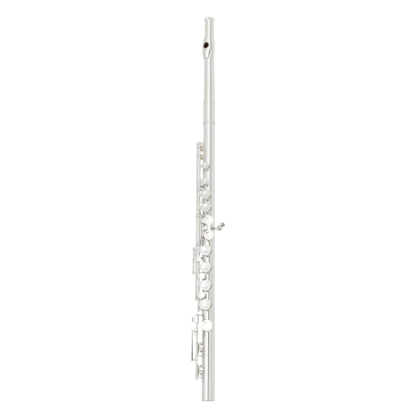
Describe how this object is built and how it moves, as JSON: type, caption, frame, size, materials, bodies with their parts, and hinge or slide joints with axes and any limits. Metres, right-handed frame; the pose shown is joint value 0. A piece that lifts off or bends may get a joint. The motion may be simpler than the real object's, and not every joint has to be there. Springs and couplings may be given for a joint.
{
  "type": "concert flute",
  "caption": "Concert flute in C with closed-hole keys, offset G and a C foot; head joint slides, foot joint turns, and every key works on its rod",
  "frame": {"origin": "on the tube's axis at the foot joint's open end", "axes": "+Y along the tube towards the crown, +Z out through the key cups, -X the side of the long key rods"},
  "size_m": [0.0543, 0.67, 0.0419],
  "materials": {
    "silver_plate": "bright silver plate over nickel silver, polished",
    "rod_steel": "polished steel",
    "blued_steel": "blued spring steel",
    "pad_skin": "golden bladder skin over woven felt",
    "cork": "natural cork"
  },
  "bodies": {
    "root": {"barrel": "silver_plate", "body_tube": "silver_plate", "body_ribs": "silver_plate", "body_posts": "silver_plate", "body_springs": "blued_steel", "stack_rod": "rod_steel", "csharp_rod": "rod_steel", "g_rod": "rod_steel", "thumb_rod": "rod_steel", "bflat_lever_rod": "rod_steel", "bumper_corks": "cork"},
    "head": {"head_tube": "silver_plate", "lip_plate": "silver_plate", "embouchure_riser": "silver_plate"},
    "cork": {"cork_screw": "rod_steel", "cork_plates": "silver_plate", "head_cork": "cork"},
    "crown": {"crown": "silver_plate"},
    "foot": {"foot_tube": "silver_plate", "foot_rib": "silver_plate", "foot_posts": "silver_plate", "foot_springs": "blued_steel", "foot_rod": "rod_steel"},
    "d_key": {"d_key": "silver_plate", "d_pad": "pad_skin"},
    "e_key": {"e_key": "silver_plate", "e_pad": "pad_skin"},
    "f_key": {"f_key": "silver_plate", "f_pad": "pad_skin"},
    "fsharp_key": {"fsharp_key": "silver_plate", "fsharp_pad": "pad_skin"},
    "g_key": {"g_key": "silver_plate", "g_pads": "pad_skin"},
    "gsharp_key": {"gsharp_key": "silver_plate", "gsharp_pad": "pad_skin"},
    "a_key": {"a_key": "silver_plate", "a_pad": "pad_skin"},
    "bflat_key": {"bflat_key": "silver_plate", "bflat_pad": "pad_skin"},
    "csharp_key": {"csharp_key": "silver_plate", "csharp_pad": "pad_skin"},
    "thumb_b_key": {"thumb_b_key": "silver_plate", "thumb_pad": "pad_skin"},
    "thumb_bflat_lever": {"thumb_bflat_lever": "silver_plate"},
    "bflat_lever": {"bflat_lever": "silver_plate"},
    "trill_d_key": {"trill_d_key": "silver_plate", "trill_d_pad": "pad_skin"},
    "trill_dsharp_key": {"trill_dsharp_key": "silver_plate", "trill_dsharp_pad": "pad_skin"},
    "foot_dsharp_key": {"foot_dsharp_key": "silver_plate", "foot_dsharp_pad": "pad_skin"},
    "foot_csharp_key": {"foot_csharp_key": "silver_plate", "foot_csharp_pad": "pad_skin"},
    "foot_c_key": {"foot_c_key": "silver_plate", "foot_c_pad": "pad_skin"},
    "roller_csharp": {"roller_csharp": "silver_plate"},
    "roller_c": {"roller_c": "silver_plate"}
  },
  "joints": [
    {"name": "head_slide", "type": "slide", "parent": "root", "child": "head", "axis": [0, 1, 0], "range_m": [0, 0.01]},
    {"name": "crown_turn", "type": "hinge", "parent": "head", "child": "crown", "pos_m": [0, 0.662, 0], "axis": [0, 1, 0], "range_deg": [-180, 180]},
    {"name": "cork_draw", "type": "slide", "parent": "head", "child": "cork", "axis": [0, 1, 0], "range_m": [-0.000349, 0.000349]},
    {"name": "foot_turn", "type": "hinge", "parent": "root", "child": "foot", "pos_m": [0, 0.127, 0], "axis": [0, 1, 0], "continuous": true},
    {"name": "d_press", "type": "hinge", "parent": "root", "child": "d_key", "pos_m": [-0.01425, 0.14963, 0.0089], "axis": [0, 1, 0], "range_deg": [0, 9.65], "stiffness_Nm_per_rad": 0.01, "springref_deg": -28.65},
    {"name": "e_press", "type": "hinge", "parent": "root", "child": "e_key", "pos_m": [-0.01425, 0.17392, 0.0089], "axis": [0, 1, 0], "range_deg": [0, 9.65], "stiffness_Nm_per_rad": 0.01, "springref_deg": -28.65},
    {"name": "f_press", "type": "hinge", "parent": "root", "child": "f_key", "pos_m": [-0.01425, 0.20092, 0.0089], "axis": [0, 1, 0], "range_deg": [0, 9.65], "stiffness_Nm_per_rad": 0.01, "springref_deg": -28.65},
    {"name": "fsharp_press", "type": "hinge", "parent": "root", "child": "fsharp_key", "pos_m": [-0.01425, 0.22692, 0.0089], "axis": [0, 1, 0], "range_deg": [0, 9.65]},
    {"name": "g_press", "type": "hinge", "parent": "root", "child": "g_key", "pos_m": [-0.01061, 0.27942, 0.01061], "axis": [0, 1, 0], "range_deg": [0, 10.2], "stiffness_Nm_per_rad": 0.01, "springref_deg": -28.65},
    {"name": "gsharp_press", "type": "hinge", "parent": "root", "child": "gsharp_key", "pos_m": [-0.01061, 0.2614, 0.01061], "axis": [0, 1, 0], "range_deg": [0, 8.3], "stiffness_Nm_per_rad": 0.01, "springref_deg": -28.65},
    {"name": "a_press", "type": "hinge", "parent": "root", "child": "a_key", "pos_m": [-0.01425, 0.303, 0.0089], "axis": [0, 1, 0], "range_deg": [0, 9.65], "stiffness_Nm_per_rad": 0.01, "springref_deg": -28.65},
    {"name": "bflat_press", "type": "hinge", "parent": "root", "child": "bflat_key", "pos_m": [-0.01425, 0.32317, 0.0089], "axis": [0, 1, 0], "range_deg": [0, 9.65]},
    {"name": "csharp_press", "type": "hinge", "parent": "root", "child": "csharp_key", "pos_m": [-0.01425, 0.37775, 0.0089], "axis": [0, 1, 0], "range_deg": [0, 7.91], "stiffness_Nm_per_rad": 0.01, "springref_deg": -28.65},
    {"name": "thumb_b_press", "type": "hinge", "parent": "root", "child": "thumb_b_key", "pos_m": [-0.013, 0.3457, -0.01016], "axis": [0, -1, 0], "range_deg": [0, 10.58], "stiffness_Nm_per_rad": 0.01, "springref_deg": -28.65},
    {"name": "thumb_bflat_lever_press", "type": "hinge", "parent": "root", "child": "thumb_bflat_lever", "pos_m": [-0.013, 0.32875, -0.01016], "axis": [0, -1, 0], "range_deg": [0, 6], "stiffness_Nm_per_rad": 0.01, "springref_deg": -28.65},
    {"name": "bflat_lever_press", "type": "hinge", "parent": "root", "child": "bflat_lever", "pos_m": [-0.02426, 0.21627, 0.00341], "axis": [0, 1, 0], "range_deg": [0, 6], "stiffness_Nm_per_rad": 0.01, "springref_deg": -28.65},
    {"name": "trill_d_press", "type": "hinge", "parent": "root", "child": "trill_d_key", "pos_m": [-0.01879, 0.291, 0.00684], "axis": [0, 1, 0], "range_deg": [0, 13.62], "stiffness_Nm_per_rad": 0.01, "springref_deg": -28.65},
    {"name": "trill_dsharp_press", "type": "hinge", "parent": "root", "child": "trill_dsharp_key", "pos_m": [-0.01879, 0.16815, 0.00684], "axis": [0, 1, 0], "range_deg": [0, 13.62], "stiffness_Nm_per_rad": 0.01, "springref_deg": -28.65},
    {"name": "foot_dsharp_press", "type": "hinge", "parent": "foot", "child": "foot_dsharp_key", "pos_m": [-0.01547, 0.11472, 0.01345], "axis": [0, -1, 0], "range_deg": [0, 7], "stiffness_Nm_per_rad": 0.01, "springref_deg": -28.65},
    {"name": "foot_csharp_press", "type": "hinge", "parent": "foot", "child": "foot_csharp_key", "pos_m": [-0.01547, 0.08628, 0.01345], "axis": [0, -1, 0], "range_deg": [0, 10.22], "stiffness_Nm_per_rad": 0.01, "springref_deg": -28.65},
    {"name": "foot_c_press", "type": "hinge", "parent": "foot", "child": "foot_c_key", "pos_m": [-0.01547, 0.04975, 0.01345], "axis": [0, -1, 0], "range_deg": [0, 10.22], "stiffness_Nm_per_rad": 0.01, "springref_deg": -28.65},
    {"name": "roller_csharp_spin", "type": "hinge", "parent": "foot_csharp_key", "child": "roller_csharp", "pos_m": [-0.01697, 0.1034, 0.01997], "axis": [0.9841, 0, -0.1775], "continuous": true},
    {"name": "roller_c_spin", "type": "hinge", "parent": "foot_c_key", "child": "roller_c", "pos_m": [-0.01697, 0.0986, 0.01997], "axis": [0.9841, 0, -0.1775], "continuous": true}
  ],
  "couplings": [
    {"joint": "crown_turn", "follows": "cork_draw", "rad_per_m": 8976},
    {"joint": "fsharp_press", "follows": "f_press", "ratio": 1},
    {"joint": "bflat_press", "follows": "a_press", "ratio": 1}
  ]
}
